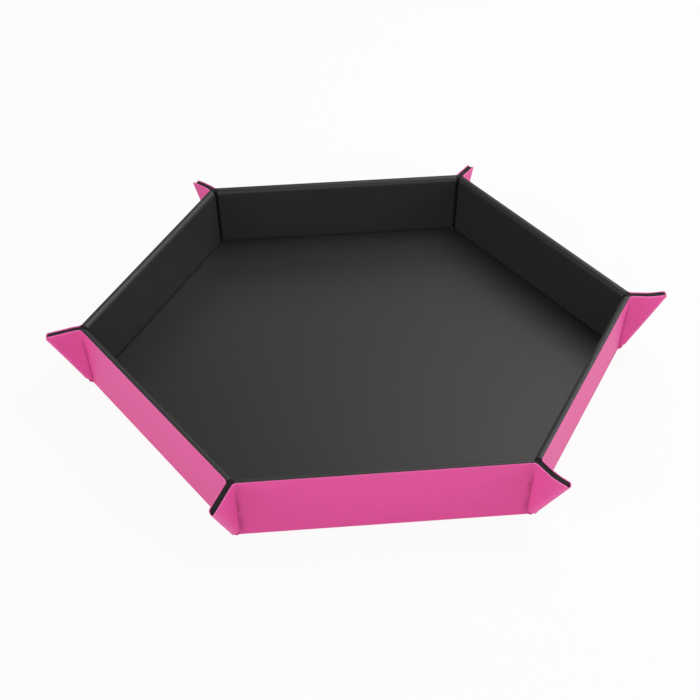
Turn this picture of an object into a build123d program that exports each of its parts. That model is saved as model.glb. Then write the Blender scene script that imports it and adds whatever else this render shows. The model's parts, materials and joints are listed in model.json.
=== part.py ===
from build123d import *

import os
from math import acos, atan, cos, degrees, radians, sin, tan

# Folding hexagonal dice tray, standing ready for use. Millimetres, +Z up.
# The origin is the centre of the underside, and wall 1 is the front wall, on the -Y side.
#
# The tray is one flat sheet with stiff panels: a hexagonal base, six walls and, at each corner,
# a gusset of two flaps. Every crease lies on the outside face of the cover. A wall stands up
# about its crease on the base, and its two flaps fold back towards the outside, so that the
# flaps of two neighbouring walls lie against each other and make one of the corner ears.
# A magnet in each flap holds the ear together.

# Driving dimensions
SIDES = 6
BASE_ACROSS_FLATS = 240.0  # between two opposite base creases
WALL_DEPTH = 36.0  # along a wall, from its base crease to its rim
WALL_LEAN = 5.0  # degrees that a standing wall leans out from upright

PANEL_COVER = 0.8  # outer sheet of the base and walls
PANEL_BOARD = 2.0  # stiffening board inside them
PANEL_LINING = 0.8  # inner sheet over the board
BOARD_WRAP = 1.8  # lining round the board's edge
RIM_RADIUS = 1.4  # rounding of a wall's inner rim edge

FLAP_COVER = 0.6
FLAP_LINING = 1.2
FLAP_FOOT = 3.0  # from the base crease to a flap's lower edge, along the flap's crease
FLAP_TIP_RADIUS = 1.6

MAGNET_DIAMETER = 8.0
MAGNET_THICKNESS = 1.0
MAGNET_EDGE = 4.2  # from a magnet's rim to its flap's crease and rim

CREASE_GAP = 0.1  # from a crease to each panel that it joins
EAR_GAP = 0.1  # from the middle plane of an ear to each flap
EDGE_WRAP = 0.65  # share of a flap's thickness that the cover takes up round an ear's folded edge
BOARD_FIT = 0.1  # between a board's edge and the lining round it
MAGNET_FIT = 0.05  # between a magnet's rim and its pocket

# Sizes that follow from them
PANEL = PANEL_COVER + PANEL_BOARD + PANEL_LINING
FLAP = FLAP_COVER + FLAP_LINING
APOTHEM = BASE_ACROSS_FLATS / 2
CORNER_TURN = 180 / SIDES  # degrees between a wall's outward direction and its ear's
HALF_SIDE = APOTHEM * tan(radians(CORNER_TURN))
WALL_FOLD = 90 - WALL_LEAN  # degrees from flat to standing
MITRE = 90 - WALL_FOLD / 2  # degrees between a panel's face and its end face at a base crease

# A wall is slightly wider at its rim, so that its side creases keep one distance from the
# middle plane of the ear although it leans out. Its flaps can then lie along that plane.
FLARE = degrees(atan(sin(radians(WALL_LEAN)) * tan(radians(CORNER_TURN))))
FLAP_FOLD = degrees(acos(cos(radians(WALL_LEAN)) * sin(radians(CORNER_TURN))))
EAR_HALF_ANGLE = CORNER_TURN - FLARE  # between a flap's crease and its folded edge

# The side creases stop short of the corner by what the flaps, or the walls' own thickness,
# take up beside the ear's middle plane.
SIDE_CREASE = max(FLAP, PANEL * cos(radians(FLAP_FOLD))) + EAR_GAP
CORNER_INSET = SIDE_CREASE / cos(radians(CORNER_TURN))
CREASE_LENGTH = WALL_DEPTH / cos(radians(FLARE))
MAGNET_REACH = MAGNET_EDGE + MAGNET_DIAMETER / 2  # from its axis to the crease and the rim


def wall_frame(number):
    """The plane of a standing wall's outside face, from the middle of its base crease.

    X runs along the crease to the right as seen from inside, Y up the wall, Z into the tray.
    """
    turned = Plane.XY.rotated((0, 0, (number - 1) * 360 / SIDES))
    lean = radians(WALL_LEAN)
    inward = turned.y_dir * cos(lean) + turned.z_dir * sin(lean)
    return Plane(origin=turned.y_dir * -APOTHEM, x_dir=turned.x_dir * -1, z_dir=inward)


def mitre_plane(number):
    """The plane of a wall's end face at its base crease, with the wall on its upper side."""
    wall = wall_frame(number)
    tilt = radians(MITRE)
    upwards = wall.y_dir * sin(tilt) - wall.z_dir * cos(tilt)
    return Plane(origin=wall.origin + upwards * CREASE_GAP, x_dir=wall.x_dir, z_dir=upwards)


def flap_frame(number, side):
    """The plane of a folded flap's outside face, from the foot of its crease on the wall.

    Side is 1 for the wall's right end and -1 for its left. The flap lies at X of that sign,
    Y runs up the crease, and Z points to the lining.
    """
    wall = wall_frame(number)
    flare, fold = radians(FLARE), radians(FLAP_FOLD)
    foot = wall.from_local_coords((side * (HALF_SIDE - CORNER_INSET), 0, 0))
    along = wall.x_dir * (side * sin(flare)) + wall.y_dir * cos(flare)
    away = wall.x_dir * (side * cos(flare)) - wall.y_dir * sin(flare)
    folded = away * cos(fold) - wall.z_dir * sin(fold)
    return Plane(origin=foot, x_dir=folded * side, z_dir=(folded * side).cross(along))


def save(piece, name):
    piece.part.label = name
    export_step(piece.part, f"parts/{name}.step")


def base_apothem(height):
    """From the centre to the base's mitred end face at that height."""
    return APOTHEM - CREASE_GAP / sin(radians(MITRE)) - height / tan(radians(MITRE))


def base_hexagon(apothem):
    RegularPolygon(apothem, SIDES, major_radius=False)


def make_base():
    # The board stops short of the mitred end faces by the lining's wrap.
    board_apothem = base_apothem(PANEL_COVER + PANEL_BOARD) - BOARD_WRAP

    with BuildPart() as base_cover:
        with BuildSketch(Plane.XY):
            base_hexagon(base_apothem(0))
        extrude(amount=PANEL_COVER, taper=90 - MITRE)
    save(base_cover, "base_cover")

    with BuildPart() as base_board:
        with BuildSketch(Plane.XY.offset(PANEL_COVER)):
            base_hexagon(board_apothem)
        extrude(amount=PANEL_BOARD)
    save(base_board, "base_board")

    with BuildPart() as base_lining:
        with BuildSketch(Plane.XY.offset(PANEL_COVER)):
            base_hexagon(base_apothem(PANEL_COVER))
        extrude(amount=PANEL_BOARD + PANEL_LINING, taper=90 - MITRE)
        with BuildSketch(Plane.XY.offset(PANEL_COVER)):
            base_hexagon(board_apothem + BOARD_FIT)
        extrude(amount=PANEL_BOARD, mode=Mode.SUBTRACT)
    save(base_lining, "base_lining")


def wall_outline(foot=0.0, inset=0.0):
    """A wall's outline from the height foot to its rim, moved in from its ends and rim by inset."""
    slope = tan(radians(FLARE))
    end = HALF_SIDE - CORNER_INSET - (CREASE_GAP + inset) / cos(radians(FLARE))
    rim = WALL_DEPTH - inset
    corners = [(end + foot * slope, foot), (end + rim * slope, rim)]
    mirrored = [(-x, y) for x, y in reversed(corners)]
    Polygon(*corners, *mirrored, align=None)


def make_wall(number):
    wall = wall_frame(number)
    mitre = mitre_plane(number)
    # The board stops short of the mitred end face too.
    board_foot = (PANEL_COVER + PANEL_BOARD) / tan(radians(MITRE)) + BOARD_WRAP

    with BuildPart() as wall_cover:
        with BuildSketch(wall):
            wall_outline()
        extrude(amount=PANEL_COVER)
        split(bisect_by=mitre, keep=Keep.TOP)
    save(wall_cover, f"wall_{number}_cover")

    with BuildPart() as wall_board:
        with BuildSketch(wall.offset(PANEL_COVER)):
            wall_outline(board_foot, BOARD_WRAP)
        extrude(amount=PANEL_BOARD)
    save(wall_board, f"wall_{number}_board")

    with BuildPart() as wall_lining:
        with BuildSketch(wall.offset(PANEL_COVER)):
            wall_outline()
        extrude(amount=PANEL_BOARD + PANEL_LINING)
        split(bisect_by=mitre, keep=Keep.TOP)
        inner_face = wall_lining.faces().sort_by(Axis(wall.origin, wall.z_dir))[-1]
        rim_edge = inner_face.edges().sort_by(Axis(wall.origin, wall.y_dir))[-1]
        fillet(rim_edge, RIM_RADIUS)
        with BuildSketch(wall.offset(PANEL_COVER)):
            wall_outline(board_foot - BOARD_FIT, BOARD_WRAP - BOARD_FIT)
        extrude(amount=PANEL_BOARD, mode=Mode.SUBTRACT)
    save(wall_lining, f"wall_{number}_lining")


def flap_outline(side):
    """A flap's outline, a triangle between its crease, its rim and its folded edge, less its foot."""
    flare, half = radians(FLARE), radians(EAR_HALF_ANGLE)
    # Unfolded, the folded edge runs from the base's corner along the middle of the gusset. The
    # flap stops short of it, which also keeps it on its own side of the ear's middle plane
    # while the tray folds.
    base_corner = Vector(CORNER_INSET * cos(flare), CORNER_INSET * sin(flare))
    edge_start = base_corner - Vector(cos(half), -sin(half)) * (EDGE_WRAP * FLAP)
    edge_dir = Vector(sin(half), cos(half))
    foot_end = edge_start + edge_dir * ((FLAP_FOOT - edge_start.Y) / edge_dir.Y)
    rim_start = Vector(CREASE_GAP, CREASE_LENGTH + CREASE_GAP * tan(flare))
    rim_dir = Vector(cos(flare), sin(flare))
    reach = (edge_start - rim_start).cross(edge_dir).Z / rim_dir.cross(edge_dir).Z
    tip = rim_start + rim_dir * reach
    corners = [Vector(CREASE_GAP, FLAP_FOOT), foot_end, tip, rim_start]
    triangle = Polygon(*[(side * corner.X, corner.Y) for corner in corners], align=None)
    fillet(triangle.vertices().sort_by_distance((side * tip.X, tip.Y))[0], FLAP_TIP_RADIUS)


def make_flap(number, side):
    frame = flap_frame(number, side)
    name = f"flap_{number}_{'right' if side > 0 else 'left'}"
    magnet_centre = (side * MAGNET_REACH, CREASE_LENGTH - MAGNET_REACH)

    with BuildPart() as flap_cover:
        with BuildSketch(frame):
            flap_outline(side)
        extrude(amount=FLAP_COVER)
    save(flap_cover, f"{name}_cover")

    with BuildPart() as flap_lining:
        with BuildSketch(frame.offset(FLAP_COVER)):
            flap_outline(side)
        extrude(amount=FLAP_LINING)
        with BuildSketch(frame.offset(FLAP_COVER)):
            with Locations(magnet_centre):
                Circle(MAGNET_DIAMETER / 2 + MAGNET_FIT)
        extrude(amount=MAGNET_THICKNESS, mode=Mode.SUBTRACT)
    save(flap_lining, f"{name}_lining")

    with BuildPart() as flap_magnet:
        with BuildSketch(frame.offset(FLAP_COVER)):
            with Locations(magnet_centre):
                Circle(MAGNET_DIAMETER / 2)
        extrude(amount=MAGNET_THICKNESS)
    save(flap_magnet, f"{name}_magnet")


os.makedirs("parts", exist_ok=True)
make_base()
for number in range(1, SIDES + 1):
    make_wall(number)
    for side in (-1, 1):
        make_flap(number, side)
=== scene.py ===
import json
from math import acos, atan, cos, pi, radians, sin, sqrt, tan

import bpy
import numpy as np
from mathutils import Matrix, Vector


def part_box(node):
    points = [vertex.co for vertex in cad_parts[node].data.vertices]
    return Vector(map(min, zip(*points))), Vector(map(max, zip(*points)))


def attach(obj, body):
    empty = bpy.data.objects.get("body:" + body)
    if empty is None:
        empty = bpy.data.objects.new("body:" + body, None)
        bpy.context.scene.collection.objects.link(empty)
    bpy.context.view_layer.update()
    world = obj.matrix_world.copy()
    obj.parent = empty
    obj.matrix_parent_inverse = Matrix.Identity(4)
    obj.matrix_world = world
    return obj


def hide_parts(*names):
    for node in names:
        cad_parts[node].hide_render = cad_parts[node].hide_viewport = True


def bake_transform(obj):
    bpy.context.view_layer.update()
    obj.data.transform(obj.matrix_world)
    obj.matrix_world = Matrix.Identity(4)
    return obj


# Folding hexagonal dice tray: a leatherette cover outside, a microfibre lining inside,
# stiff panels between them, and a pinched ear at each corner. Metres, +Z up.

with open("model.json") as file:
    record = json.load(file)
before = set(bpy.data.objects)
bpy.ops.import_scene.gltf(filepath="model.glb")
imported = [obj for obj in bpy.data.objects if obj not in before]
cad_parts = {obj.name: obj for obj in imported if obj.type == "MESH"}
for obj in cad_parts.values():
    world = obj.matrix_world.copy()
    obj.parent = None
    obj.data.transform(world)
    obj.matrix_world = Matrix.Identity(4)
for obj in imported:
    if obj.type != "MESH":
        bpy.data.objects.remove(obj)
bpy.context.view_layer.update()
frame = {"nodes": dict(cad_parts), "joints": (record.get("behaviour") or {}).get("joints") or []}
MM = 0.001
UP = np.array([0.0, 0.0, 1.0])

# ---------------------------------------------------------------- sizes from the frame

SIDES = 6
joints = {joint["name"]: joint for joint in frame["joints"]}
front_fold = joints["wall_1_fold"]
APOTHEM = -front_fold["pos_m"][1] / MM
LEAN = radians(90 - front_fold["range_deg"][1])
MITRE = radians(90 - front_fold["range_deg"][1] / 2)
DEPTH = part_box("wall_1_cover")[1].z / MM / cos(LEAN)
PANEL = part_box("base_lining")[1].z / MM
TURN = radians(180 / SIDES)
FLARE = atan(sin(LEAN) * tan(TURN))
FLAP_FOLD = acos(cos(LEAN) * sin(TURN))
EAR_HALF_ANGLE = TURN - FLARE
HALF_SIDE = APOTHEM * tan(TURN)
CREASE_FOOT = joints["flap_1_left_fold"]["pos_m"][0] / MM
CORNER_INSET = HALF_SIDE - CREASE_FOOT
CREASE_LENGTH = DEPTH / cos(FLARE)
EAR_SIDE = CORNER_INSET * cos(TURN)  # from an ear's middle plane to each side of it

# ---------------------------------------------------------------- sizes of the soft parts

SKIN = 0.55  # the cover's visible thickness
EAR_SKIN = 0.34  # the same on the flaps, where it is pressed flat
LINING = 0.5
RIM_ROUND = 2.7  # rounding of a wall's inner rim edge
COVER_EDGE = 0.28  # from the rim down to the cover's edge
BASE_ROUND = 1.1  # rounding of the cover at the base crease
FOOT_HEIGHT = 1.4  # from the base crease to an ear's lower edge, where it leaves its crease
FOOT_RISE = 0.5  # how fast that edge climbs outwards
FOOT_BULGE = 0.7  # how far an ear's foot swells past its folded edge
FOOT_ROUND = 1.6  # rounding of its outer corner
SIDE_STRIP = 6.0  # how far a flap's cover reaches onto its wall
BASE_STRIP = 2.5  # how far a wall's cover reaches under the base
FOLD_ROUND = 3.0  # rounding along an ear's folded edge
FOOT_REACH = 3.6  # from a flap's crease to the outer corner of its foot
FOOT_FOLD = 1.3  # rounding along an ear's lower edge
BAND_DEPTH = 0.75  # how far the lining lies below the cover's edge on top of an ear
SEAM = 0.05  # from a closed seam to each side of it
SEAM_ROUND = 0.75  # rounding of floor and wall lining where they dip into the seam

# How far each ear's upper edge drops towards its tip, and how far the tip leans over
# counter-clockwise. Ear 1 is between walls 1 and 2.
EARS = {1: (-1.2, 0.9), 2: (-0.3, 0.4), 3: (2.6, -0.3), 4: (2.8, 1.6), 5: (2.8, 0.8), 6: (1.8, 0.5)}


# ---------------------------------------------------------------- meshes

def make_object(name, points, faces):
    mesh = bpy.data.meshes.new(name)
    mesh.from_pydata([tuple(float(value) * MM for value in point) for point in points], [], faces)
    mesh.update()
    piece = bpy.data.objects.new(name, mesh)
    bpy.context.scene.collection.objects.link(piece)
    return piece


def grid_faces(rows, columns, keep=None):
    """Quads of a grid of points, seen from the side where rows rise and columns run right."""
    faces = []
    for row in range(rows - 1):
        for column in range(columns - 1):
            if keep is None or keep(row, column):
                corner = row * columns + column
                faces.append((corner, corner + 1, corner + columns + 1, corner + columns))
    return faces


def mark(piece, **marks):
    """Writes named values, one for each point of the mesh."""
    for label, values in marks.items():
        attribute = piece.data.attributes.new(label, "FLOAT", "POINT")
        attribute.data.foreach_set("value", np.array(values, np.float32))


def sheet(name, points, keep=None, flip=False, **marks):
    """A sheet through a grid of points, without the points that no face uses."""
    rows, columns = len(points), len(points[0])
    flat = np.array(points, float).reshape(rows * columns, 3)
    faces = grid_faces(rows, columns, keep)
    used = sorted({index for face in faces for index in face})
    place = {index: new for new, index in enumerate(used)}
    faces = [tuple(place[index] for index in face) for face in faces]
    if flip:
        faces = [face[::-1] for face in faces]
    piece = make_object(name, flat[used], faces)
    mark(piece, **{label: np.array(values, float).reshape(-1)[used] for label, values in marks.items()})
    return piece


def closed(name, front, back, flip=False):
    """A closed body between two grids of points that share their layout."""
    rows, columns = len(front), len(front[0])
    points = np.concatenate([np.array(front, float).reshape(-1, 3), np.array(back, float).reshape(-1, 3)])
    count = rows * columns
    faces = grid_faces(rows, columns)
    faces += [tuple(index + count for index in face[::-1]) for face in faces]
    loop = [(0, column) for column in range(columns)]
    loop += [(row, columns - 1) for row in range(1, rows)]
    loop += [(rows - 1, column) for column in range(columns - 2, -1, -1)]
    loop += [(row, 0) for row in range(rows - 2, 0, -1)]
    edge = [row * columns + column for row, column in loop]
    for here, there in zip(edge, edge[1:] + edge[:1]):
        faces.append((there, here, here + count, there + count))
    if flip:
        faces = [face[::-1] for face in faces]
    return make_object(name, points, faces)


def smooth_step(value):
    value = np.clip(value, 0, 1)
    return value * value * (3 - 2 * value)


def rotated(x, y, angle):
    return x * cos(angle) - y * sin(angle), x * sin(angle) + y * cos(angle)


# ---------------------------------------------------------------- frames of the front wall

WALL_X = np.array([-1.0, 0.0, 0.0])
WALL_Y = np.array([0.0, -sin(LEAN), cos(LEAN)])
WALL_Z = np.array([0.0, cos(LEAN), sin(LEAN)])
WALL_FOOT = np.array([0.0, -APOTHEM, 0.0])


def on_wall(x, y, z):
    """A point of the front wall: x along it, y up it, z from its outside face inwards."""
    return WALL_FOOT + WALL_X * x + WALL_Y * y + WALL_Z * z


def flap_axes(side):
    """Foot of a flap's crease, and its directions away from the crease, up it and inwards."""
    foot = on_wall(side * CREASE_FOOT, 0, 0)
    along = WALL_X * (side * sin(FLARE)) + WALL_Y * cos(FLARE)
    away = WALL_X * (side * cos(FLARE)) - WALL_Y * sin(FLARE)
    out = away * cos(FLAP_FOLD) - WALL_Z * sin(FLAP_FOLD)
    inwards = WALL_Z * cos(FLAP_FOLD) + away * sin(FLAP_FOLD)
    return foot, out, along, inwards


def crease_x(y):
    """Where the side crease runs on the wall at height y."""
    return CREASE_FOOT + y * tan(FLARE)


# ---------------------------------------------------------------- turning a piece to each side

def group_tree(name, sockets):
    tree = bpy.data.node_groups.new(name, "GeometryNodeTree")
    tree.interface.new_socket(name="Geometry", in_out="INPUT", socket_type="NodeSocketGeometry")
    for label, kind, value in sockets:
        socket = tree.interface.new_socket(name=label, in_out="INPUT", socket_type=kind)
        if value is not None:
            socket.default_value = value
    tree.interface.new_socket(name="Geometry", in_out="OUTPUT", socket_type="NodeSocketGeometry")
    return tree, tree.nodes, tree.links


def make_turned_panel_tree():
    """Ripples a soft sheet along its normals, then turns it about the tray's middle."""
    tree, nodes, links = group_tree("turned panel", [
        ("Turn", "NodeSocketFloat", 0.0),
        ("Ripple height", "NodeSocketFloat", 0.0),
        ("Ripple size", "NodeSocketFloat", 0.02),
        ("Seed", "NodeSocketFloat", 0.0),
        ("Material", "NodeSocketMaterial", None)])
    given = nodes.new("NodeGroupInput")
    result = nodes.new("NodeGroupOutput")
    position = nodes.new("GeometryNodeInputPosition")
    normal = nodes.new("GeometryNodeInputNormal")
    softness = nodes.new("GeometryNodeInputNamedAttribute")
    softness.data_type = "FLOAT"
    softness.inputs["Name"].default_value = "softness"
    per_metre = math_node(tree, "DIVIDE", 1.0, given.outputs["Ripple size"])
    noise = nodes.new("ShaderNodeTexNoise")
    noise.noise_dimensions = "4D"
    noise.inputs["Detail"].default_value = 2.0
    links.new(position.outputs[0], noise.inputs["Vector"])
    links.new(given.outputs["Seed"], noise.inputs["W"])
    links.new(per_metre, noise.inputs["Scale"])
    centred = math_node(tree, "SUBTRACT", noise.outputs[0], 0.5)
    height = math_node(tree, "MULTIPLY", centred, given.outputs["Ripple height"])
    masked = math_node(tree, "MULTIPLY", height, softness.outputs[0])
    offset = nodes.new("ShaderNodeVectorMath")
    offset.operation = "SCALE"
    links.new(normal.outputs[0], offset.inputs[0])
    links.new(masked, offset.inputs["Scale"])
    ripple = nodes.new("GeometryNodeSetPosition")
    links.new(given.outputs["Geometry"], ripple.inputs["Geometry"])
    links.new(offset.outputs[0], ripple.inputs["Offset"])
    euler = nodes.new("ShaderNodeCombineXYZ")
    links.new(given.outputs["Turn"], euler.inputs["Z"])
    rotation = nodes.new("FunctionNodeEulerToRotation")
    links.new(euler.outputs[0], rotation.inputs[0])
    turn = nodes.new("GeometryNodeTransform")
    links.new(ripple.outputs[0], turn.inputs["Geometry"])
    links.new(rotation.outputs[0], turn.inputs["Rotation"])
    real = nodes.new("GeometryNodeRealizeInstances")
    links.new(turn.outputs[0], real.inputs[0])
    finish = nodes.new("GeometryNodeSetMaterial")
    links.new(real.outputs[0], finish.inputs["Geometry"])
    links.new(given.outputs["Material"], finish.inputs["Material"])
    links.new(finish.outputs[0], result.inputs[0])
    return tree


def socket_of(tree, label):
    return next(item.identifier for item in tree.interface.items_tree
                if item.name == label and getattr(item, "in_out", "") == "INPUT")


def soften(piece, mask):
    """Marks how much each point may ripple, from a function of its place in millimetres."""
    mark(piece, softness=[mask(np.array(vertex.co) / MM) for vertex in piece.data.vertices])


def finished(source, name, number, material, ripple=0.0, size=0.02, thickness=0.0, crisp=50):
    """A plain mesh of the source piece on side number, with its thickness, ripple and material."""
    if thickness:
        shell = source.modifiers.new("thickness", "SOLIDIFY")
        shell.thickness = thickness * MM
        shell.offset = -1
    panel = source.modifiers.new("side", "NODES")
    panel.node_group = TURNED_PANEL
    for label, value in (("Turn", radians((number - 1) * 360 / SIDES)), ("Ripple height", ripple * MM),
                         ("Ripple size", size), ("Seed", number * 3.7), ("Material", material)):
        panel[socket_of(TURNED_PANEL, label)] = value
    bpy.context.view_layer.update()
    depsgraph = bpy.context.evaluated_depsgraph_get()
    mesh = bpy.data.meshes.new_from_object(source.evaluated_get(depsgraph))
    source.modifiers.clear()
    mesh.name = name
    mesh.materials.clear()
    mesh.materials.append(material)
    mesh.shade_smooth()
    mesh.set_sharp_from_angle(angle=radians(crisp))
    piece = bpy.data.objects.new(name, mesh)
    bpy.context.scene.collection.objects.link(piece)
    return piece


# ---------------------------------------------------------------- finishes

def shader_group(name, inputs, outputs):
    tree = bpy.data.node_groups.new(name, "ShaderNodeTree")
    for label, kind, value in inputs:
        socket = tree.interface.new_socket(name=label, in_out="INPUT", socket_type=kind)
        socket.default_value = value
    for label, kind in outputs:
        tree.interface.new_socket(name=label, in_out="OUTPUT", socket_type=kind)
    given = tree.nodes.new("NodeGroupInput")
    result = tree.nodes.new("NodeGroupOutput")
    return tree, given, result


def math_node(tree, operation, first, second=None, third=None):
    node = tree.nodes.new("ShaderNodeMath")
    node.operation = operation
    for slot, value in enumerate((first, second, third)):
        if value is None:
            continue
        if isinstance(value, (int, float)):
            node.inputs[slot].default_value = value
        else:
            tree.links.new(value, node.inputs[slot])
    return node.outputs[0]


def noise_node(tree, vector, scale, detail=2.0, roughness=0.5):
    node = tree.nodes.new("ShaderNodeTexNoise")
    node.inputs["Detail"].default_value = detail
    node.inputs["Roughness"].default_value = roughness
    tree.links.new(vector, node.inputs["Vector"])
    if isinstance(scale, (int, float)):
        node.inputs["Scale"].default_value = scale
    else:
        tree.links.new(scale, node.inputs["Scale"])
    return node.outputs[0]


def make_pebble_grain():
    """Fine pebbled grain: rounded cells of varying height with narrow valleys between them."""
    tree, given, result = shader_group("pebble grain", [
        ("Vector", "NodeSocketVector", (0, 0, 0)), ("Cells per metre", "NodeSocketFloat", 1800.0),
        ("Unevenness", "NodeSocketFloat", 0.4)], [("Height", "NodeSocketFloat"), ("Valley", "NodeSocketFloat")])
    cells = tree.nodes.new("ShaderNodeTexVoronoi")
    cells.feature = "SMOOTH_F1"
    cells.inputs["Smoothness"].default_value = 0.35
    tree.links.new(given.outputs["Vector"], cells.inputs["Vector"])
    tree.links.new(given.outputs["Cells per metre"], cells.inputs["Scale"])
    dome = math_node(tree, "SUBTRACT", 1.0, cells.outputs["Distance"])
    coarser = math_node(tree, "MULTIPLY", given.outputs["Cells per metre"], 0.35)
    uneven = noise_node(tree, given.outputs["Vector"], coarser, 3.0)
    height = math_node(tree, "MULTIPLY_ADD", uneven, given.outputs["Unevenness"], dome)
    tree.links.new(height, result.inputs["Height"])
    valley = math_node(tree, "SUBTRACT", cells.outputs["Distance"], 0.45)
    tree.links.new(math_node(tree, "MAXIMUM", valley, 0.0), result.inputs["Valley"])
    return tree


def make_patchy_tone():
    """Slow, uneven change of tone over a large surface, as a low and a middle size of cloud."""
    tree, given, result = shader_group("patchy tone", [
        ("Vector", "NodeSocketVector", (0, 0, 0)), ("Patch size", "NodeSocketFloat", 0.06),
        ("Contrast", "NodeSocketFloat", 1.0)], [("Tone", "NodeSocketFloat")])
    vector, patch = given.outputs["Vector"], given.outputs["Patch size"]
    low = noise_node(tree, vector, math_node(tree, "DIVIDE", 1.0, patch), 3.0)
    middle = noise_node(tree, vector, math_node(tree, "DIVIDE", 6.0, patch), 3.0, 0.6)
    both = math_node(tree, "MULTIPLY_ADD", middle, 0.35, math_node(tree, "MULTIPLY", low, 0.65))
    centred = math_node(tree, "SUBTRACT", both, 0.5)
    tone = math_node(tree, "MULTIPLY_ADD", centred, given.outputs["Contrast"], 0.5)
    clamp = tree.nodes.new("ShaderNodeClamp")
    tree.links.new(tone, clamp.inputs[0])
    tree.links.new(clamp.outputs[0], result.inputs["Tone"])
    return tree


def make_painted_light():
    """Masks for painted highlights on rounded folds and edges and painted shade in creases, broken up by fine
    noise.
    """
    tree, given, result = shader_group("painted highlight and shade", [
        ("Vector", "NodeSocketVector", (0, 0, 0)), ("Rubbed", "NodeSocketFloat", 0.0),
        ("Creased", "NodeSocketFloat", 0.0), ("Break up", "NodeSocketFloat", 0.5)],
        [("Highlight", "NodeSocketFloat"), ("Shade", "NodeSocketFloat")])
    broken = noise_node(tree, given.outputs["Vector"], 420.0, 4.0, 0.65)
    spread_out = math_node(tree, "SUBTRACT", math_node(tree, "MULTIPLY", broken, 2.0), 1.0)
    gain = math_node(tree, "MULTIPLY_ADD", spread_out, given.outputs["Break up"], 1.0)
    for label, source in (("Highlight", "Rubbed"), ("Shade", "Creased")):
        clamp = tree.nodes.new("ShaderNodeClamp")
        tree.links.new(math_node(tree, "MULTIPLY", given.outputs[source], gain), clamp.inputs[0])
        tree.links.new(clamp.outputs[0], result.inputs[label])
    return tree


def place_group(tree, group, **values):
    node = tree.nodes.new("ShaderNodeGroup")
    node.node_tree = group
    for label, value in values.items():
        socket = node.inputs[label.replace("_", " ")]
        if isinstance(value, (int, float)):
            socket.default_value = value
        else:
            tree.links.new(value, socket)
    return node


def mixed_colour(tree, factor, dark, light):
    node = tree.nodes.new("ShaderNodeMix")
    node.data_type = "RGBA"
    tree.links.new(factor, node.inputs[0])
    for socket, value in ((node.inputs[6], dark), (node.inputs[7], light)):
        if isinstance(value, tuple):
            socket.default_value = (*value, 1)
        else:
            tree.links.new(value, socket)
    return node.outputs[2]


def ranged(tree, factor, low, high):
    node = tree.nodes.new("ShaderNodeMapRange")
    tree.links.new(factor, node.inputs[0])
    node.inputs[3].default_value = low
    node.inputs[4].default_value = high
    return node.outputs[0]


def new_material(name):
    material = bpy.data.materials.new(name)
    material.use_nodes = True
    tree = material.node_tree
    surface = tree.nodes["Principled BSDF"]
    place = tree.nodes.new("ShaderNodeTexCoord").outputs["Object"]
    return material, tree, surface, place


def bumped(tree, surface, height, distance, strength, under=None):
    bump = tree.nodes.new("ShaderNodeBump")
    bump.inputs["Distance"].default_value = distance
    bump.inputs["Strength"].default_value = strength
    tree.links.new(height, bump.inputs["Height"])
    if under is not None:
        tree.links.new(under, bump.inputs["Normal"])
    tree.links.new(bump.outputs[0], surface.inputs["Normal"])
    return bump.outputs[0]


PEBBLE_GRAIN = make_pebble_grain()
PATCHY_TONE = make_patchy_tone()
PAINTED_LIGHT = make_painted_light()
TURNED_PANEL = make_turned_panel_tree()


def mesh_mark(tree, label):
    node = tree.nodes.new("ShaderNodeAttribute")
    node.attribute_name = label
    return node.outputs["Fac"]


def make_pink_leatherette():
    material, tree, surface, place = new_material("pink leatherette")
    grain = place_group(tree, PEBBLE_GRAIN, Vector=place, Cells_per_metre=2100.0, Unevenness=0.6)
    tone = place_group(tree, PATCHY_TONE, Vector=place, Patch_size=0.05, Contrast=1.1)
    painted_marks = place_group(tree, PAINTED_LIGHT, Vector=place, Rubbed=mesh_mark(tree, "wear"),
                        Creased=mesh_mark(tree, "shade"), Break_up=0.25)
    plain = mixed_colour(tree, tone.outputs["Tone"], (0.69, 0.060, 0.285), (0.75, 0.076, 0.325))
    valleys = mixed_colour(tree, grain.outputs["Valley"], plain, (0.55, 0.035, 0.21))
    # Painted shade: creases and seams are darkened towards a deep magenta.
    crease_shaded = mixed_colour(tree, painted_marks.outputs["Shade"], valleys, (0.36, 0.012, 0.12))
    # Painted highlight: rounded folds, rims and edges are lightened towards a pale pink.
    highlit = mixed_colour(tree, painted_marks.outputs["Highlight"], crease_shaded, (0.86, 0.17, 0.46))
    tree.links.new(highlit, surface.inputs["Base Color"])
    tree.links.new(ranged(tree, tone.outputs["Tone"], 0.48, 0.58), surface.inputs["Roughness"])
    surface.inputs["Specular IOR Level"].default_value = 0.45
    wrinkles = noise_node(tree, place, 160.0, 4.0, 0.55)
    soft = bumped(tree, surface, wrinkles, 0.0002, 0.4)
    bumped(tree, surface, grain.outputs["Height"], 0.00004, 0.4, soft)
    return material


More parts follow.
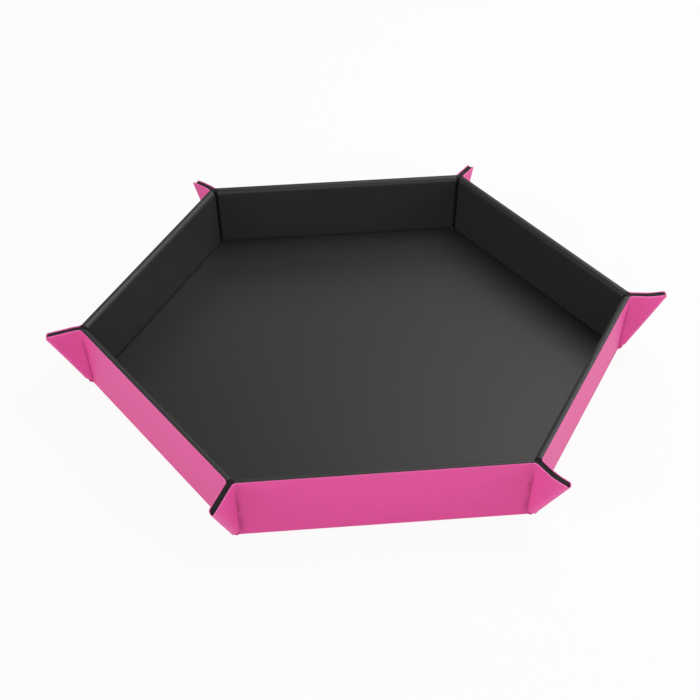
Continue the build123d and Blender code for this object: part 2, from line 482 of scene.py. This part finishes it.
def make_black_microfibre():
    material, tree, surface, place = new_material("black microfibre")
    nap = place_group(tree, PEBBLE_GRAIN, Vector=place, Cells_per_metre=4200.0, Unevenness=1.0)
    tone = place_group(tree, PATCHY_TONE, Vector=place, Patch_size=0.09, Contrast=1.2)
    painted_marks = place_group(tree, PAINTED_LIGHT, Vector=place, Rubbed=mesh_mark(tree, "wear"),
                        Creased=mesh_mark(tree, "shade"), Break_up=0.6)
    plain = mixed_colour(tree, tone.outputs["Tone"], (0.0092, 0.0088, 0.0092), (0.0116, 0.0110, 0.0116))
    # Painted shade: creases, seams and the bands on top of the ears are darkened to near black.
    crease_shaded = mixed_colour(tree, painted_marks.outputs["Shade"], plain, (0.0015, 0.0014, 0.0015))
    # Painted highlight: rounded rims and edges are lightened a little.
    highlit = mixed_colour(tree, painted_marks.outputs["Highlight"], crease_shaded, (0.030, 0.029, 0.030))
    tree.links.new(highlit, surface.inputs["Base Color"])
    satin = ranged(tree, tone.outputs["Tone"], 0.44, 0.52)
    matt = math_node(tree, "MULTIPLY_ADD", painted_marks.outputs["Shade"], 0.45, satin)
    tree.links.new(matt, surface.inputs["Roughness"])
    surface.inputs["Specular IOR Level"].default_value = 0.5
    surface.inputs["Sheen Weight"].default_value = 0.05
    surface.inputs["Sheen Roughness"].default_value = 0.5
    cloth = noise_node(tree, place, 90.0, 3.0, 0.5)
    soft = bumped(tree, surface, cloth, 0.0003, 0.25)
    bumped(tree, surface, nap.outputs["Height"], 0.00003, 0.5, soft)
    return material


def make_pressed_board():
    material, tree, surface, place = new_material("pressed board")
    fibres = place_group(tree, PEBBLE_GRAIN, Vector=place, Cells_per_metre=1100.0, Unevenness=1.5)
    tone = place_group(tree, PATCHY_TONE, Vector=place, Patch_size=0.03, Contrast=1.6)
    plain = mixed_colour(tree, tone.outputs["Tone"], (0.30, 0.22, 0.15), (0.42, 0.32, 0.23))
    fibrous = mixed_colour(tree, fibres.outputs["Valley"], plain, (0.16, 0.11, 0.07))
    tree.links.new(fibrous, surface.inputs["Base Color"])
    tree.links.new(ranged(tree, tone.outputs["Tone"], 0.82, 0.92), surface.inputs["Roughness"])
    bumped(tree, surface, fibres.outputs["Height"], 0.00008, 0.7)
    return material


def make_nickel_plate():
    material, tree, surface, place = new_material("nickel plate")
    tone = place_group(tree, PATCHY_TONE, Vector=place, Patch_size=0.006, Contrast=1.5)
    metal = mixed_colour(tree, tone.outputs["Tone"], (0.50, 0.49, 0.46), (0.62, 0.61, 0.58))
    tree.links.new(metal, surface.inputs["Base Color"])
    tree.links.new(ranged(tree, tone.outputs["Tone"], 0.22, 0.34), surface.inputs["Roughness"])
    surface.inputs["Metallic"].default_value = 1.0
    bumped(tree, surface, noise_node(tree, place, 2600.0, 2.0), 0.00001, 0.4)
    return material


PINK = make_pink_leatherette()
BLACK = make_black_microfibre()
BOARD = make_pressed_board()
NICKEL = make_nickel_plate()


# ---------------------------------------------------------------- base

def polygon_ring(apothem, z, across):
    """A ring round the base's hexagon, with across points along each side."""
    points = []
    for number in range(SIDES):
        angle = number * 2 * pi / SIDES
        for step in range(across):
            x = apothem * tan(TURN) * (2 * step / across - 1)
            points.append((*rotated(x, -apothem, angle), z))
    return points


def ringed_body(name, rings):
    """A closed body through rings of points, with a fan of faces at each end."""
    count = len(rings[0])
    points = [point for ring in rings for point in ring]
    faces = []
    for level in range(len(rings) - 1):
        for index in range(count):
            after = (index + 1) % count
            low, high = level * count, (level + 1) * count
            faces.append((low + index, low + after, high + after, high + index))
    for level, outward in ((0, -1), (len(rings) - 1, 1)):
        centre = len(points)
        points.append((0.0, 0.0, rings[level][0][2]))
        for index in range(count):
            face = (level * count + index, level * count + (index + 1) % count, centre)
            faces.append(face[::outward])
    return make_object(name, points, faces)


def floor_apothem(z):
    """From the middle to the floor's edge in the mitred seam, at height z."""
    return APOTHEM - SEAM / sin(MITRE) - z / tan(MITRE)


def make_floor():
    """The lining over the base board: a flat floor whose edges dip softly into the seams."""
    along = 24
    hem = 2.0  # reaches under the floor's edge
    low, high = 1.0, 2.4
    dip = 0.6  # drawn in where the rounding starts
    rings = [polygon_ring(floor_apothem(low) - hem, low, along), polygon_ring(floor_apothem(low), low, along),
             polygon_ring(floor_apothem(high), high, along)]
    # Painted shade: the hem and the rounding into the seam are marked dark, fading out towards the flat floor.
    shades = [1, 1, 1]
    for angle in (5, 20, 40, 60, 78, 90):
        inwards = SEAM_ROUND * (1 - sin(radians(90 - angle)))
        drop = SEAM_ROUND * (1 - sin(radians(angle)))
        edge = floor_apothem(PANEL - SEAM_ROUND) - inwards - dip * (1 - drop / SEAM_ROUND)
        rings.append(polygon_ring(edge, PANEL - drop, along))
        shades.append(1 - (angle / 90) ** 3)
    for share in (0.985, 0.96, 0.88, 0.7, 0.45, 0.2):
        rings.append(polygon_ring(floor_apothem(PANEL) * share, PANEL, along))
        shades.append(0)
    floor = ringed_body("floor_source", rings)
    mark(floor, shade=np.concatenate([np.repeat(shades, SIDES * along), [1, 0]]))

    def softness(point):
        """Nothing near the edge and below the top, and full 42 mm in from the edge."""
        from_edge = smooth_step((APOTHEM - 12 - np.hypot(point[0], point[1])) / 30)
        return float(from_edge * (point[2] > PANEL - 0.05))
    soften(floor, softness)
    return floor


def make_underside():
    """The cover under the base board, up to the strips that turn up into the walls."""
    edge = APOTHEM - BASE_STRIP
    rings = [polygon_ring(edge * share, 0.0, 12) for share in (0.3, 0.7, 0.95, 1.0)]
    rings += [polygon_ring(edge * share, SKIN, 12) for share in (1.0, 0.95, 0.7, 0.3)]
    return ringed_body("underside_source", rings)


# ---------------------------------------------------------------- walls

def wall_cover_path():
    """The cover's outside face from under the base, round the base crease and up to the rim."""
    bend = 2 * (pi / 2 - MITRE)  # how far the cover turns at the base crease
    reach = BASE_ROUND * tan(bend / 2)
    inwards = np.array([0.0, 1.0, 0.0])
    points = [inwards * distance for distance in (BASE_STRIP, 2.0, 1.5, reach)]
    # Painted highlight along the path: the rounding at the base crease and the rounded rim edge are lightened.
    wear = [0, 0, 0, 0.1]
    centre = inwards * reach + UP * BASE_ROUND
    for step in range(1, 9):
        turn = bend * step / 8
        points.append(centre + np.array([0.0, -sin(turn), -cos(turn)]) * BASE_ROUND)
        wear.append(0.45 * sin(pi * step / 8.5))
    points.append(WALL_Y * FOOT_HEIGHT)
    wear.append(0)
    rows_below = len(points)
    for distance in np.linspace(FOOT_HEIGHT + 1.2, DEPTH - 1.4, 24):
        points.append(WALL_Y * distance)
        wear.append(0)
    round_off = 0.25
    for angle in (0, 30, 60, 85):
        height = DEPTH - COVER_EDGE - round_off + round_off * sin(radians(angle))
        points.append(WALL_Y * height + WALL_Z * round_off * (1 - cos(radians(angle))))
        wear.append(0.25 + 0.6 * angle / 85)
    return points, wear, rows_below


def make_wall_cover():
    """The cover between the flaps' strips, and below them over the full length of the crease."""
    path, wear, rows_below = wall_cover_path()
    shares = np.linspace(-1, 1, 45)
    points, marks = [], []
    for offset, highlight_share in zip(path, wear):
        height = max(0.0, float(offset @ WALL_Y))
        inner = crease_x(height) - SIDE_STRIP
        beside = [inner + 1.5, inner + 3.5, crease_x(height)]
        columns = [-x for x in beside[::-1]] + [*(inner * shares)] + beside
        points.append([WALL_FOOT + offset + WALL_X * x for x in columns])
        # Each row carries its painted highlight across all its columns.
        marks.append([highlight_share] * len(columns))
    last = len(points[0]) - 4

    def keep(row, column):
        return row < rows_below - 1 or 3 <= column < last
    return sheet("wall_cover_source", points, keep, flip=True, wear=marks)


def lining_path():
    """A wall's lining from its outer rim edge over the rim, down its inside and into the seam.

    Each point has a height, a depth, and how much painted highlight and painted shade it gets.
    """
    outer, outer_round = 0.08, 0.24
    tucked = SKIN + 0.02
    edge = DEPTH - COVER_EDGE
    points = [(DEPTH - 0.9, tucked, 0, 0), (edge - 0.03, tucked, 0, 0), (edge - 0.02, outer + 0.02, 0, 0)]
    # The outer rounding of the rim gets a painted highlight.
    for angle in map(radians, (10, 35, 60, 85)):
        height = DEPTH - outer_round + outer_round * sin(angle)
        points.append((height, outer + outer_round - outer_round * cos(angle), 0.3, 0))
    for degree in range(0, 91, 9):
        angle = radians(degree)
        height = DEPTH - RIM_ROUND + RIM_ROUND * cos(angle)
        # Painted highlight on the rim's inner rounding, strongest at its top.
        highlight_share = 0.07 * cos(radians(degree * 0.95))
        points.append((height, PANEL - RIM_ROUND + RIM_ROUND * sin(angle), highlight_share, 0))
    foot = PANEL / tan(MITRE) + SEAM / sin(MITRE)
    for height in np.linspace(DEPTH - RIM_ROUND - 1.5, foot + 1.6, 24):
        points.append((height, PANEL, 0, 0))
    for degree in (8, 25, 45, 65, 82):
        angle = radians(degree)
        height = foot + 1.1 * (1 - sin(angle)) - 0.15 * sin(angle)
        # Painted shade grows where the lining rounds down into the seam.
        points.append((height, PANEL - SEAM_ROUND * (1 - cos(angle)), 0, min(1, degree / 50)))

    def in_seam(reach, out):
        """A point reach up the mitred seam from the crease, and out from its middle plane."""
        return cos(MITRE) * reach + sin(MITRE) * out, sin(MITRE) * reach - cos(MITRE) * out, 0, 1
    # Points in the seam get full painted shade.
    points += [in_seam(reach, SEAM * 2) for reach in (3.8, 3.1, 2.3, 1.6)]
    points += [in_seam(1.4 - 0.1 * abs(share), SEAM * 2 * share) for share in (0.6, 0.2, -0.2, -0.6, -1.0)]
    points += [in_seam(1.7, -0.25), in_seam(2.3, -0.35)]
    return points


def make_wall_lining():
    """The lining along that path, with its two ends rounded down to the cover."""
    points, highlit, dark = [], [], []
    round_end = 1.2
    tucked = SKIN + 0.02
    for y, z, highlight_share, shaded in lining_path():
        end = crease_x(max(0.0, y)) - 0.12
        # Each end gets painted shade, full at its very edge and fading over its rounding towards the flat.
        ends = [(end, min(y, DEPTH - 1.0), min(z, tucked) if z > 0 else z, 0, 1)]
        for angle in (90, 72, 54, 36, 18, 0):
            inset = round_end * (1 - sin(radians(angle)))
            drop = round_end * (1 - cos(radians(angle)))
            depth = max(tucked, z - drop) if z > SKIN + 0.1 else z
            ends.append((end - inset, y, depth, highlight_share, max(shaded, 0.8 * angle / 90)))
        row = [(-x, *rest) for x, *rest in ends]
        flat = end - round_end - 0.8
        row += [(x, y, z, highlight_share, shaded) for x in np.linspace(-flat, flat, 41)]
        row += ends[::-1]
        points.append([on_wall(*values[:3]) for values in row])
        highlit.append([values[3] for values in row])
        dark.append([values[4] for values in row])
    return sheet("wall_lining_source", points, flip=True, wear=highlit, shade=dark)


# ---------------------------------------------------------------- ears

def ear_edge_u(v):
    """From a flap's crease to the middle of its ear's folded edge, at height v up the crease."""
    start_u, start_v = CORNER_INSET * cos(FLARE), CORNER_INSET * sin(FLARE)
    swell = FOOT_BULGE * np.exp(-((v - 2.4) / 2.0) ** 2)
    below = float(np.clip(1 - (v - FOOT_HEIGHT - FOOT_RISE * FOOT_REACH) / FOOT_ROUND, 0, 1))
    corner = FOOT_ROUND * (1 - sqrt(1 - below * below))
    return start_u + (v - start_v) * tan(EAR_HALF_ANGLE) + float(swell) - 0.8 * corner


def rim_v(u):
    """Height of the rim's line up the crease, at u from the crease."""
    return CREASE_LENGTH + u * tan(FLARE)


# Where an ear's folded edge would meet the line of the rim
TIP_V = (CREASE_LENGTH + CORNER_INSET * (cos(FLARE) - sin(FLARE) * tan(EAR_HALF_ANGLE)) * tan(FLARE)) / (
    1 - tan(EAR_HALF_ANGLE) * tan(FLARE))
TIP_U = ear_edge_u(TIP_V)


def fold_share(u, v):
    """From 0 on a flap's flat face to 1 on the ear's middle plane, round its folded edge and foot."""
    from_edge = (ear_edge_u(v) - u) * cos(EAR_HALF_ANGLE)
    first = float(np.clip(1 - from_edge / FOLD_ROUND, 0, 1))
    second = float(np.clip(1 - (v - FOOT_HEIGHT - FOOT_RISE * max(u, 0)) / FOOT_FOLD, 0, 1))
    return min(1.0, sqrt(first * first + second * second))


def fold_depth(u, v):
    """How far the cover has turned towards the ear's middle plane at a point of the flap."""
    share = fold_share(u, v)
    return (EAR_SIDE - 0.015) * (1 - sqrt(1 - share * share))


def flap_rows():
    """Shares of the way up a flap, closer together at its foot and its rim."""
    return np.concatenate([[0, 0.006, 0.014, 0.024, 0.036], np.linspace(0.055, 0.965, 30), [0.98, 0.99, 1.0]])


def rim_height(share, ear):
    """Height of an ear's upper edge at a share of the way to its tip: it sags and its tip is cut."""
    height = rim_v(TIP_U * share) - 0.5 * sin(pi * share) ** 2 - EARS[ear][0] * share ** 1.6
    return height - 2.0 * float(np.clip((share - 0.87) / 0.13, 0, 1)) ** 1.4


def ear_bend(side, ear, u, n, v):
    """The same place on an ear whose tip leans over, beyond its magnets."""
    lean = EARS[ear][1]
    tilt = lean * float(np.clip((u - 11) / (TIP_U - 11), 0, 1)) ** 1.3
    return u, n - side * tilt, v


def fold_radius(v):
    """Rounding of the cover in the crease between wall and flap: soft at the rim, tight below."""
    share = float(smooth_step((v - CREASE_LENGTH + 14) / 14))
    return 0.9 + 2.1 * share


def crease_section(v):
    """The cover's outside face across the crease, as distances out on the flap and inwards."""
    radius = fold_radius(v)
    tangent = radius * tan(FLAP_FOLD / 2)
    back = (-cos(FLAP_FOLD), -sin(FLAP_FOLD))
    section = [(back[0] * distance, back[1] * distance) for distance in (SIDE_STRIP, 5.2, 4.3, 3.4, 2.6)]
    section = [(u, n) for u, n in section if sqrt(u * u + n * n) > tangent + 0.05]
    while len(section) < 5:
        section.append((back[0] * (tangent + 0.02), back[1] * (tangent + 0.02)))
    steps = 12
    start = (back[0] * tangent, back[1] * tangent)
    centre = (start[0] + sin(FLAP_FOLD) * radius, start[1] - cos(FLAP_FOLD) * radius)
    for step in range(steps + 1):
        angle = FLAP_FOLD * (1 - step / steps)
        section.append((centre[0] - sin(angle) * radius, centre[1] + cos(angle) * radius))
    return section


def crease_marks(section, v):
    """How much painted shade each point of the crease gets, along a slightly wandering line."""
    wander = 0.2 * sin(v * 0.55) + 0.12 * sin(v * 1.3 + 1.0)
    fade = float(smooth_step((v - 1) / 4) * (1 - 0.75 * smooth_step((v - CREASE_LENGTH + 12) / 10)))
    return [0.75 * fade * float(np.exp(-((u - 0.15 - wander) / 0.75) ** 2)) for u, n in section]


def make_flap_cover(side, ear):
    """The cover from a strip on the wall over the crease to the ear's folded edge and tip."""
    foot, out, along, inwards = flap_axes(side)
    folded = 0.8  # share of the row where the rounding of the folded edge starts
    to_edge = np.array([0.17, 0.14, 0.11, 0.085, 0.062, 0.042, 0.027, 0.015, 0.006, 0.0])
    shares = np.concatenate([np.linspace(0.02, folded, 14), 1 - to_edge])
    rows, highlit, dark = [], [], []
    for up in flap_rows():
        v_crease = FOOT_HEIGHT + (CREASE_LENGTH - COVER_EDGE - FOOT_HEIGHT) * up
        section = crease_section(v_crease)
        row = []
        for u, n in section:
            # On both sides of the crease the sheet's rows follow the rim, not the crease.
            beside = u if u > 0 else u * cos(FLAP_FOLD) + n * sin(FLAP_FOLD)
            row.append(foot + out * u + inwards * n + along * (v_crease + beside * tan(FLARE)))
        # Painted shade along the crease between wall and flap, and a painted highlight on the rim's top rows.
        dark_row = crease_marks(section, v_crease)
        highlit_row = [0.7 * float(up > 0.985)] * len(section)
        first = section[-1][0]
        for share in shares:
            low = FOOT_HEIGHT + FOOT_RISE * FOOT_REACH * share
            v = low + (rim_height(share, ear) - COVER_EDGE - low) * up
            edge = ear_edge_u(v)
            narrow = min(FOLD_ROUND / cos(EAR_HALF_ANGLE), edge * 0.7)
            if share > folded:
                u = edge - narrow * (1 - share) / 0.2
            else:
                u = first + (edge - narrow - first) * (share - 0.01) / folded
            n = fold_depth(u, v)
            turned_over = fold_share(u, v)
            u, n, v = ear_bend(side, ear, u, n, v)
            row.append(foot + out * u + inwards * n + along * v)
            # Painted highlight round the ear's folded edge and its rim, and painted shade near the crease.
            highlit_row.append(max(0.7 * float(up > 0.985), 0.5 * turned_over ** 2))
            dark_row.append(0.5 * float(np.exp(-((u - 0.15) / 0.75) ** 2)))
        rows.append(row)
        highlit.append(highlit_row)
        dark.append(dark_row)
    return sheet(f"flap_cover_source_{side}", rows, flip=side > 0, wear=highlit, shade=dark)


def make_flap_lining(side, ear):
    """The lining between cover and middle plane, with the soft wedge at the ear's root."""
    foot, out, along, inwards = flap_axes(side)
    middle = EAR_SIDE - 0.02
    front, back = [], []
    reach = PANEL - 0.9
    root = (-sin(FLAP_FOLD) * reach, cos(FLAP_FOLD) * reach)
    for up in flap_rows():
        v_crease = FOOT_HEIGHT + 0.5 + (CREASE_LENGTH - BAND_DEPTH - FOOT_HEIGHT - 0.5) * up
        face, rear = [], []
        for share in np.linspace(0, 1, 6):
            n = min(middle, root[1] + (middle - root[1]) * share ** 0.5)
            face.append(foot + out * root[0] * (1 - share) + inwards * n + along * v_crease)
            near = 0.55 + 0.1 * share
            rear_u = -sin(FLAP_FOLD) * near * (1 - share)
            rear_n = near * (cos(FLAP_FOLD) * (1 - share) + share)
            rear.append(foot + out * rear_u + inwards * rear_n + along * v_crease)
        for share in np.concatenate([np.linspace(0.06, 0.86, 14), [0.89, 0.915, 0.94]]):
            low = FOOT_HEIGHT + 0.7 + FOOT_RISE * FOOT_REACH * share
            v = low + (rim_height(share, ear) - BAND_DEPTH - low) * up
            u = min(TIP_U * share * (v + 3) / (TIP_V + 3), ear_edge_u(v) - 0.45)
            n = min(fold_depth(u, v) + EAR_SKIN + 0.02, middle - 0.1)
            for line, depth in ((face, middle), (rear, n)):
                at_u, at_n, at_v = ear_bend(side, ear, u, depth, v)
                line.append(foot + out * at_u + inwards * at_n + along * at_v)
        front.append(face)
        back.append(rear)
    lining = closed(f"flap_lining_source_{side}", front, back, flip=side < 0)
    columns = len(front[0])
    # Painted shade on the lining's top rows and all its rear, so that the band on top of the ear looks dark.
    inner = [float(up > 0.975) for up in flap_rows() for _ in range(columns)]
    mark(lining, shade=inner + [1.0] * len(inner))
    return lining


def make_base_corner():
    """The small rounded corner of the cover under an ear's foot."""
    radius = CORNER_INSET / tan(TURN)
    corner = np.array([HALF_SIDE, -APOTHEM, 0.0])
    bisector = corner / np.linalg.norm(corner)
    centre = corner - bisector * (radius / cos(TURN))
    bend = pi - 2 * MITRE
    reach = BASE_ROUND * tan(bend / 2)
    # Distances from the centre, heights, and shares of the corner's full width
    profile = [(0.9, 0.03, 1), (radius - 2.0, 0.0, 1)]
    for step in range(9):
        turn = bend * step / 8
        profile.append((radius - reach + BASE_ROUND * sin(turn), BASE_ROUND - BASE_ROUND * cos(turn), 1))
    # Above its rounding the corner narrows to a small tongue under the ear, and turns back inwards.
    profile += [(radius + 0.3, 1.15, 0.8), (radius + 1.3, 1.35, 0.55), (radius + 2.2, 1.75, 0.4),
                (radius + 2.4, 2.0, 0.36), (radius + 2.1, 2.15, 0.38), (radius + 0.9, 1.95, 0.5),
                (radius - 0.4, FOOT_HEIGHT + 0.45, 0.8), (radius - 1.6, FOOT_HEIGHT + 0.4, 1)]
    rows = []
    for distance, z, width in profile:
        row = []
        for step in range(13):
            turn = TURN * (2 * step / 12 - 1) * width
            direction = np.array([*rotated(bisector[0], bisector[1], turn), 0])
            row.append(centre + direction * distance + UP * z)
        rows.append(row)
    # The whole corner gets a light painted highlight.
    return sheet("base_corner_source", rows, wear=[[0.3] * 13 for _ in profile])


# ---------------------------------------------------------------- putting the tray together

def add_base():
    floor_source = make_floor()
    floor = finished(floor_source, "floor_lining", 1, BLACK, ripple=0.10, size=0.05, crisp=60)
    bpy.data.objects.remove(floor_source)
    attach(floor, "base")
    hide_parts("base_lining")
    underside_source = make_underside()
    underside = finished(underside_source, "underside_cover", 1, PINK)
    bpy.data.objects.remove(underside_source)
    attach(underside, "base")
    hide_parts("base_cover")
    corner_source = make_base_corner()
    for number in range(1, SIDES + 1):
        corner = finished(corner_source, f"base_corner_{number}", number, PINK, thickness=SKIN)
        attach(corner, "base")
    bpy.data.objects.remove(corner_source)


def wall_softness(crease, rim, end):
    """How much a wall's sheet may ripple. It lies still up to these distances from its edges."""
    def softness(point):
        from_crease = smooth_step((point[2] - crease) / 8)
        from_rim = smooth_step((DEPTH - rim - point[2]) / 6)
        from_end = smooth_step((HALF_SIDE - end - abs(point[0])) / 12)
        return float(from_crease * from_rim * from_end)
    return softness


def add_walls():
    cover_source = make_wall_cover()
    lining_source = make_wall_lining()
    soften(cover_source, wall_softness(crease=6, rim=4, end=12))
    soften(lining_source, wall_softness(crease=8, rim=6, end=8))
    for number in range(1, SIDES + 1):
        wall = f"wall_{number}"
        cover = finished(cover_source, f"{wall}_outside", number, PINK,
                         ripple=0.12, size=0.04, thickness=SKIN)
        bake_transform(cover)
        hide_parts(f"{wall}_cover")
        lining = finished(lining_source, f"{wall}_inside", number, BLACK,
                          ripple=0.2, size=0.035, thickness=LINING, crisp=60)
        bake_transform(lining)
        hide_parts(f"{wall}_lining")
    bpy.data.objects.remove(cover_source)
    bpy.data.objects.remove(lining_source)


def add_flaps():
    for side, word in ((-1, "left"), (1, "right")):
        foot, out, along, inwards = flap_axes(side)
        for number in range(1, SIDES + 1):
            wall, flap = f"wall_{number}", f"flap_{number}_{word}"
            ear = number if side < 0 else (number + SIDES - 2) % SIDES + 1
            cover_source = make_flap_cover(side, ear)
            cover = finished(cover_source, f"{flap}_outside", number, PINK, thickness=EAR_SKIN)
            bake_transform(cover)
            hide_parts(f"{flap}_cover")
            lining_source = make_flap_lining(side, ear)
            lining = finished(lining_source, f"{flap}_inside", number, BLACK)
            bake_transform(lining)
            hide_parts(f"{flap}_lining")
            bpy.data.objects.remove(cover_source)
            bpy.data.objects.remove(lining_source)


def add_hidden_parts():
    """Boards and magnets keep their own shape and get their materials."""
    for name, node in frame["nodes"].items():
        for ending, material in (("_board", BOARD), ("_magnet", NICKEL)):
            if name.endswith(ending):
                node.data.materials.clear()
                node.data.materials.append(material)


# ---------------------------------------------------------------- stage, light and camera

def add_stage():
    """A pale table just under the tray. It is white to the camera and clear from below."""
    reach, drop = 3000, 0.2
    corners = [(-reach, -reach, -drop), (reach, -reach, -drop), (reach, reach, -drop), (-reach, reach, -drop)]
    stage = make_object("table", corners, [(0, 1, 2, 3)])
    material, tree, surface, place = new_material("pale table")
    surface.inputs["Roughness"].default_value = 0.9
    surface.inputs["Specular IOR Level"].default_value = 0.0
    surface.inputs["Base Color"].default_value = (0.8, 0.8, 0.8, 1)
    paths = tree.nodes.new("ShaderNodeLightPath")
    reflected = math_node(tree, "MAXIMUM", paths.outputs["Is Glossy Ray"], paths.outputs["Is Transmission Ray"])
    seen = math_node(tree, "MAXIMUM", paths.outputs["Is Camera Ray"], reflected)
    white = tree.nodes.new("ShaderNodeEmission")
    white.inputs["Color"].default_value = (1, 1, 1, 1)
    mix = tree.nodes.new("ShaderNodeMixShader")
    tree.links.new(math_node(tree, "MULTIPLY", seen, 0.92), mix.inputs[0])
    tree.links.new(surface.outputs[0], mix.inputs[1])
    tree.links.new(white.outputs[0], mix.inputs[2])
    below = tree.nodes.new("ShaderNodeMixShader")
    clear = tree.nodes.new("ShaderNodeBsdfTransparent")
    tree.links.new(tree.nodes.new("ShaderNodeNewGeometry").outputs["Backfacing"], below.inputs[0])
    tree.links.new(mix.outputs[0], below.inputs[1])
    tree.links.new(clear.outputs[0], below.inputs[2])
    tree.links.new(below.outputs[0], tree.nodes["Material Output"].inputs["Surface"])
    stage.data.materials.append(material)


def add_lamp(name, place, target, size, power):
    light = bpy.data.lights.new(name, "AREA")
    light.shape = "RECTANGLE"
    light.size, light.size_y = size
    light.energy = power
    lamp = bpy.data.objects.new(name, light)
    lamp.location = place
    lamp.rotation_euler = (Vector(target) - Vector(place)).to_track_quat("-Z", "Y").to_euler()
    bpy.context.scene.collection.objects.link(lamp)


def add_light():
    world = bpy.data.worlds.new("studio")
    world.use_nodes = True
    tree = world.node_tree
    background = tree.nodes["Background"]
    background.inputs["Color"].default_value = (1, 1, 1, 1)
    paths = tree.nodes.new("ShaderNodeLightPath")
    seen, lighting = 1.0, 0.24  # strength to the camera and as light
    strength = math_node(tree, "MULTIPLY_ADD", paths.outputs["Is Camera Ray"], seen - lighting, lighting)
    tree.links.new(strength, background.inputs["Strength"])
    bpy.context.scene.world = world
    add_lamp("front softbox", (-0.2, -1.3, 0.5), (0, 0, 0), (1.3, 0.6), 5.3)
    add_lamp("right softbox", (1.2, -0.5, 0.5), (0, 0, 0), (0.9, 0.6), 7.6)
    add_lamp("left softbox", (-1.2, -0.6, 0.5), (0, 0, 0), (0.9, 0.6), 8.0)
    add_lamp("near softbox", (0.34, 0.25, 0.60), (0.03, -0.03, 0), (0.45, 0.45), 2.9)
    add_lamp("far softbox", (0.3, 1.4, 0.9), (0, 0, 0), (1.2, 0.6), 1.4)


def add_camera():
    """Looks down at the tray from the front, turned a little to its left."""
    unit = 143.9 * MM
    elevation, turn, roll = radians(38.23), radians(5.37), radians(0.26)
    aside, above, distance = 0.0309 * unit, -0.0559 * unit, 6.074 * unit
    right = Vector((1, 0, 0))
    upward = Vector((0, sin(elevation), cos(elevation)))
    forward = Vector((0, cos(elevation), -sin(elevation)))
    place = -right * aside - upward * above - forward * distance
    right, upward = right * cos(roll) - upward * sin(roll), right * sin(roll) + upward * cos(roll)
    axes = Matrix((right, upward, -forward)).transposed().to_4x4()
    axes.translation = place
    data = bpy.data.cameras.new("camera")
    data.sensor_width = 36
    data.lens = 85.65
    camera = bpy.data.objects.new("camera", data)
    camera.matrix_world = Matrix.Rotation(-turn, 4, "Z") @ axes
    bpy.context.scene.collection.objects.link(camera)
    bpy.context.scene.camera = camera
    bpy.context.scene.view_settings.view_transform = "Standard"


add_camera()
add_light()
add_stage()
add_base()
add_walls()
add_flaps()
add_hidden_parts()
